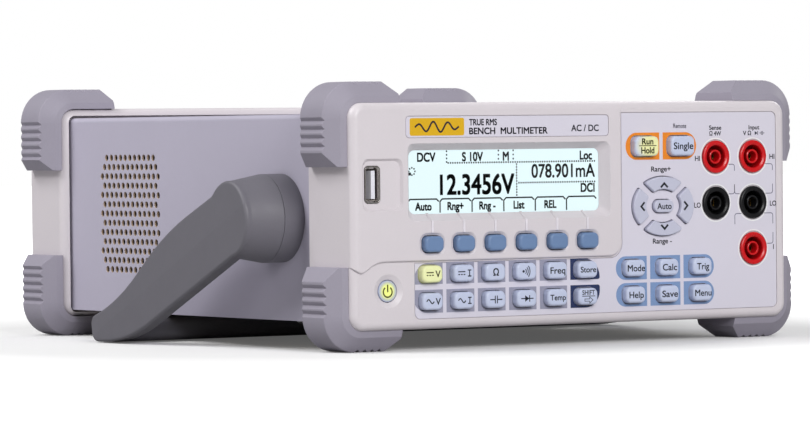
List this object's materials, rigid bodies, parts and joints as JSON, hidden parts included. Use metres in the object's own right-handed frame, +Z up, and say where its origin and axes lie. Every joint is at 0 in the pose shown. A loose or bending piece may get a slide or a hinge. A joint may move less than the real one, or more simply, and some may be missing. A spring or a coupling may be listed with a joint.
{
  "type": "bench multimeter",
  "caption": "Bench multimeter: half-rack box with keypad, display and shrouded jacks, rubber corner bumpers and a swinging bail handle.",
  "frame": {"origin": "on the ground plane under the middle of the overall footprint", "axes": "+Z up, +Y from the front panel to the rear, +X to the right seen from the front"},
  "size_m": [0.258, 0.2904, 0.107],
  "materials": {
    "housing": "fine moulded texture",
    "film": "printed film",
    "window": "clear plate",
    "display": "backlit glass",
    "circuit_board": "solder mask",
    "silicone": "matt",
    "connector_steel": "plated",
    "nickel": "nickel plated",
    "red_plastic": "moulded",
    "black_plastic": "moulded",
    "brass": "turned",
    "bumper_rubber": "moulded, soft touch",
    "case_paint": "powder coat",
    "plated_steel": "zinc plated sheet",
    "panel_paint": "powder coat",
    "component_black": "moulded",
    "core_steel": "varnished laminations",
    "handle_plastic": "fine moulded texture",
    "screw_steel": "zinc plated",
    "soft_key_blue": "satin",
    "key_plastic": "satin",
    "pad_plastic": "satin",
    "power_plastic": "translucent satin"
  },
  "bodies": {
    "body": {"black_jacks": "black_plastic", "bnc_sockets": "nickel", "board_components": "component_black", "case_cover": "case_paint", "chassis_tray": "plated_steel", "data_ports": "connector_steel", "display_module": "display", "display_window": "window", "front_bezel": "housing", "front_board": "circuit_board", "front_bumpers": "bumper_rubber", "fuse_holders": "black_plastic", "handle_bosses": "handle_plastic", "jack_contacts": "brass", "key_mat": "silicone", "main_board": "circuit_board", "mains_inlet": "black_plastic", "panel_films": "film", "power_transformer": "core_steel", "rear_bumpers": "bumper_rubber", "rear_feet": "housing", "rear_frame": "housing", "rear_panel": "panel_paint", "red_jacks": "red_plastic", "screws": "screw_steel", "usb_port": "connector_steel"},
    "arrow_down": {"arrow_down": "pad_plastic"},
    "arrow_left": {"arrow_left": "pad_plastic"},
    "arrow_right": {"arrow_right": "pad_plastic"},
    "arrow_up": {"arrow_up": "pad_plastic"},
    "handle": {"handle": "handle_plastic"},
    "key_ac_current": {"key_ac_current": "key_plastic"},
    "key_ac_volts": {"key_ac_volts": "key_plastic"},
    "key_auto": {"key_auto": "pad_plastic"},
    "key_capacitance": {"key_capacitance": "key_plastic"},
    "key_continuity": {"key_continuity": "key_plastic"},
    "key_dc_current": {"key_dc_current": "key_plastic"},
    "key_dc_volts": {"key_dc_volts": "key_plastic"},
    "key_diode": {"key_diode": "key_plastic"},
    "key_frequency": {"key_frequency": "key_plastic"},
    "key_help": {"key_help": "key_plastic"},
    "key_math": {"key_math": "key_plastic"},
    "key_measure": {"key_measure": "key_plastic"},
    "key_ohms": {"key_ohms": "key_plastic"},
    "key_preset": {"key_preset": "key_plastic"},
    "key_run_hold": {"key_run_hold": "key_plastic"},
    "key_save": {"key_save": "key_plastic"},
    "key_sensor": {"key_sensor": "key_plastic"},
    "key_shift": {"key_shift": "key_plastic"},
    "key_single": {"key_single": "key_plastic"},
    "key_trigger": {"key_trigger": "key_plastic"},
    "key_utility": {"key_utility": "key_plastic"},
    "mains_rocker": {"mains_rocker": "black_plastic"},
    "power_button": {"power_button": "power_plastic"},
    "soft_key_1": {"soft_key_1": "soft_key_blue"},
    "soft_key_2": {"soft_key_2": "soft_key_blue"},
    "soft_key_3": {"soft_key_3": "soft_key_blue"},
    "soft_key_4": {"soft_key_4": "soft_key_blue"},
    "soft_key_5": {"soft_key_5": "soft_key_blue"},
    "soft_key_6": {"soft_key_6": "soft_key_blue"}
  },
  "joints": [
    {"name": "power_button_press", "type": "slide", "parent": "body", "child": "power_button", "axis": [0, 1, 0], "range_m": [0, 0.0012], "stiffness_N_per_m": 1100, "springref_m": -0.0003},
    {"name": "mains_rocker_tilt", "type": "hinge", "parent": "body", "child": "mains_rocker", "pos_m": [-0.06, 0.11275, 0.069], "axis": [-1, 0, 0], "range_deg": [0, 20]},
    {"name": "handle_swing", "type": "hinge", "parent": "body", "child": "handle", "pos_m": [0, -0.0825, 0.0527], "axis": [-1, 0, 0], "range_deg": [0, 307]},
    {"name": "soft_key_1_press", "type": "slide", "parent": "body", "child": "soft_key_1", "axis": [0, 1, 0], "range_m": [0, 0.0012], "stiffness_N_per_m": 900, "springref_m": -0.0003},
    {"name": "soft_key_2_press", "type": "slide", "parent": "body", "child": "soft_key_2", "axis": [0, 1, 0], "range_m": [0, 0.0012], "stiffness_N_per_m": 900, "springref_m": -0.0003},
    {"name": "soft_key_3_press", "type": "slide", "parent": "body", "child": "soft_key_3", "axis": [0, 1, 0], "range_m": [0, 0.0012], "stiffness_N_per_m": 900, "springref_m": -0.0003},
    {"name": "soft_key_4_press", "type": "slide", "parent": "body", "child": "soft_key_4", "axis": [0, 1, 0], "range_m": [0, 0.0012], "stiffness_N_per_m": 900, "springref_m": -0.0003},
    {"name": "soft_key_5_press", "type": "slide", "parent": "body", "child": "soft_key_5", "axis": [0, 1, 0], "range_m": [0, 0.0012], "stiffness_N_per_m": 900, "springref_m": -0.0003},
    {"name": "soft_key_6_press", "type": "slide", "parent": "body", "child": "soft_key_6", "axis": [0, 1, 0], "range_m": [0, 0.0012], "stiffness_N_per_m": 900, "springref_m": -0.0003},
    {"name": "key_dc_volts_press", "type": "slide", "parent": "body", "child": "key_dc_volts", "axis": [0, 1, 0], "range_m": [0, 0.0012], "stiffness_N_per_m": 900, "springref_m": -0.0003},
    {"name": "key_dc_current_press", "type": "slide", "parent": "body", "child": "key_dc_current", "axis": [0, 1, 0], "range_m": [0, 0.0012], "stiffness_N_per_m": 900, "springref_m": -0.0003},
    {"name": "key_ohms_press", "type": "slide", "parent": "body", "child": "key_ohms", "axis": [0, 1, 0], "range_m": [0, 0.0012], "stiffness_N_per_m": 900, "springref_m": -0.0003},
    {"name": "key_continuity_press", "type": "slide", "parent": "body", "child": "key_continuity", "axis": [0, 1, 0], "range_m": [0, 0.0012], "stiffness_N_per_m": 900, "springref_m": -0.0003},
    {"name": "key_frequency_press", "type": "slide", "parent": "body", "child": "key_frequency", "axis": [0, 1, 0], "range_m": [0, 0.0012], "stiffness_N_per_m": 900, "springref_m": -0.0003},
    {"name": "key_preset_press", "type": "slide", "parent": "body", "child": "key_preset", "axis": [0, 1, 0], "range_m": [0, 0.0012], "stiffness_N_per_m": 900, "springref_m": -0.0003},
    {"name": "key_ac_volts_press", "type": "slide", "parent": "body", "child": "key_ac_volts", "axis": [0, 1, 0], "range_m": [0, 0.0012], "stiffness_N_per_m": 900, "springref_m": -0.0003},
    {"name": "key_ac_current_press", "type": "slide", "parent": "body", "child": "key_ac_current", "axis": [0, 1, 0], "range_m": [0, 0.0012], "stiffness_N_per_m": 900, "springref_m": -0.0003},
    {"name": "key_capacitance_press", "type": "slide", "parent": "body", "child": "key_capacitance", "axis": [0, 1, 0], "range_m": [0, 0.0012], "stiffness_N_per_m": 900, "springref_m": -0.0003},
    {"name": "key_diode_press", "type": "slide", "parent": "body", "child": "key_diode", "axis": [0, 1, 0], "range_m": [0, 0.0012], "stiffness_N_per_m": 900, "springref_m": -0.0003},
    {"name": "key_sensor_press", "type": "slide", "parent": "body", "child": "key_sensor", "axis": [0, 1, 0], "range_m": [0, 0.0012], "stiffness_N_per_m": 900, "springref_m": -0.0003},
    {"name": "key_shift_press", "type": "slide", "parent": "body", "child": "key_shift", "axis": [0, 1, 0], "range_m": [0, 0.0012], "stiffness_N_per_m": 900, "springref_m": -0.0003},
    {"name": "key_measure_press", "type": "slide", "parent": "body", "child": "key_measure", "axis": [0, 1, 0], "range_m": [0, 0.0012], "stiffness_N_per_m": 900, "springref_m": -0.0003},
    {"name": "key_math_press", "type": "slide", "parent": "body", "child": "key_math", "axis": [0, 1, 0], "range_m": [0, 0.0012], "stiffness_N_per_m": 900, "springref_m": -0.0003},
    {"name": "key_trigger_press", "type": "slide", "parent": "body", "child": "key_trigger", "axis": [0, 1, 0], "range_m": [0, 0.0012], "stiffness_N_per_m": 900, "springref_m": -0.0003},
    {"name": "key_help_press", "type": "slide", "parent": "body", "child": "key_help", "axis": [0, 1, 0], "range_m": [0, 0.0012], "stiffness_N_per_m": 900, "springref_m": -0.0003},
    {"name": "key_save_press", "type": "slide", "parent": "body", "child": "key_save", "axis": [0, 1, 0], "range_m": [0, 0.0012], "stiffness_N_per_m": 900, "springref_m": -0.0003},
    {"name": "key_utility_press", "type": "slide", "parent": "body", "child": "key_utility", "axis": [0, 1, 0], "range_m": [0, 0.0012], "stiffness_N_per_m": 900, "springref_m": -0.0003},
    {"name": "key_run_hold_press", "type": "slide", "parent": "body", "child": "key_run_hold", "axis": [0, 1, 0], "range_m": [0, 0.0012], "stiffness_N_per_m": 900, "springref_m": -0.0003},
    {"name": "key_single_press", "type": "slide", "parent": "body", "child": "key_single", "axis": [0, 1, 0], "range_m": [0, 0.0012], "stiffness_N_per_m": 900, "springref_m": -0.0003},
    {"name": "arrow_up_press", "type": "slide", "parent": "body", "child": "arrow_up", "axis": [0, 1, 0], "range_m": [0, 0.0012], "stiffness_N_per_m": 900, "springref_m": -0.0003},
    {"name": "arrow_down_press", "type": "slide", "parent": "body", "child": "arrow_down", "axis": [0, 1, 0], "range_m": [0, 0.0012], "stiffness_N_per_m": 900, "springref_m": -0.0003},
    {"name": "arrow_left_press", "type": "slide", "parent": "body", "child": "arrow_left", "axis": [0, 1, 0], "range_m": [0, 0.0012], "stiffness_N_per_m": 900, "springref_m": -0.0003},
    {"name": "arrow_right_press", "type": "slide", "parent": "body", "child": "arrow_right", "axis": [0, 1, 0], "range_m": [0, 0.0012], "stiffness_N_per_m": 900, "springref_m": -0.0003},
    {"name": "key_auto_press", "type": "slide", "parent": "body", "child": "key_auto", "axis": [0, 1, 0], "range_m": [0, 0.0012], "stiffness_N_per_m": 900, "springref_m": -0.0003}
  ]
}
